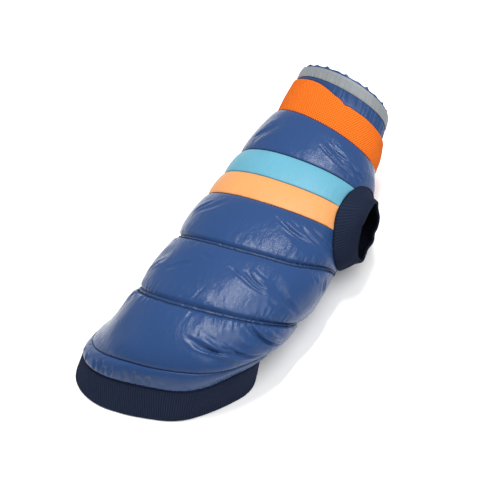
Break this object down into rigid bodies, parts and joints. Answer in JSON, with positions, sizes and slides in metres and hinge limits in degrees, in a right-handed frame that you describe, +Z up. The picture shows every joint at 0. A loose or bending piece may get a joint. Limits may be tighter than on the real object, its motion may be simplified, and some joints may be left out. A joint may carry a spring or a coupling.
{
  "type": "quilted dog jacket",
  "caption": "Padded dog jacket, filled out and empty, with rib-knit hem and leg cuffs, contrast stripes across the shoulders and a stand-up collar.",
  "frame": {"origin": "middle of the bounding box, on the floor that the belly panel and the hem rest on", "axes": "+Y towards the head end, along the back; +X towards the dog's right; +Z up"},
  "size_m": [0.2388, 0.5195, 0.1595],
  "materials": {
    "blue_nylon": "smooth, with a soft sheen",
    "belly_nylon": "smooth, matt",
    "peach_nylon": "smooth, with a soft sheen",
    "sky_nylon": "smooth, with a soft sheen",
    "orange_knit": "matt, with a fine mesh",
    "grey_tape": "smooth, slightly reflective",
    "rib_knit": "matt, ribbed"
  },
  "bodies": {
    "root": {"hem_band": "rib_knit", "back_quilted": "blue_nylon", "stripe_peach": "peach_nylon", "stripe_sky": "sky_nylon", "yoke": "blue_nylon", "belly_panel": "belly_nylon", "neck_band": "orange_knit", "collar": "blue_nylon", "reflective_tape": "grey_tape", "cuff_right": "rib_knit", "cuff_left": "rib_knit"}
  },
  "joints": []
}
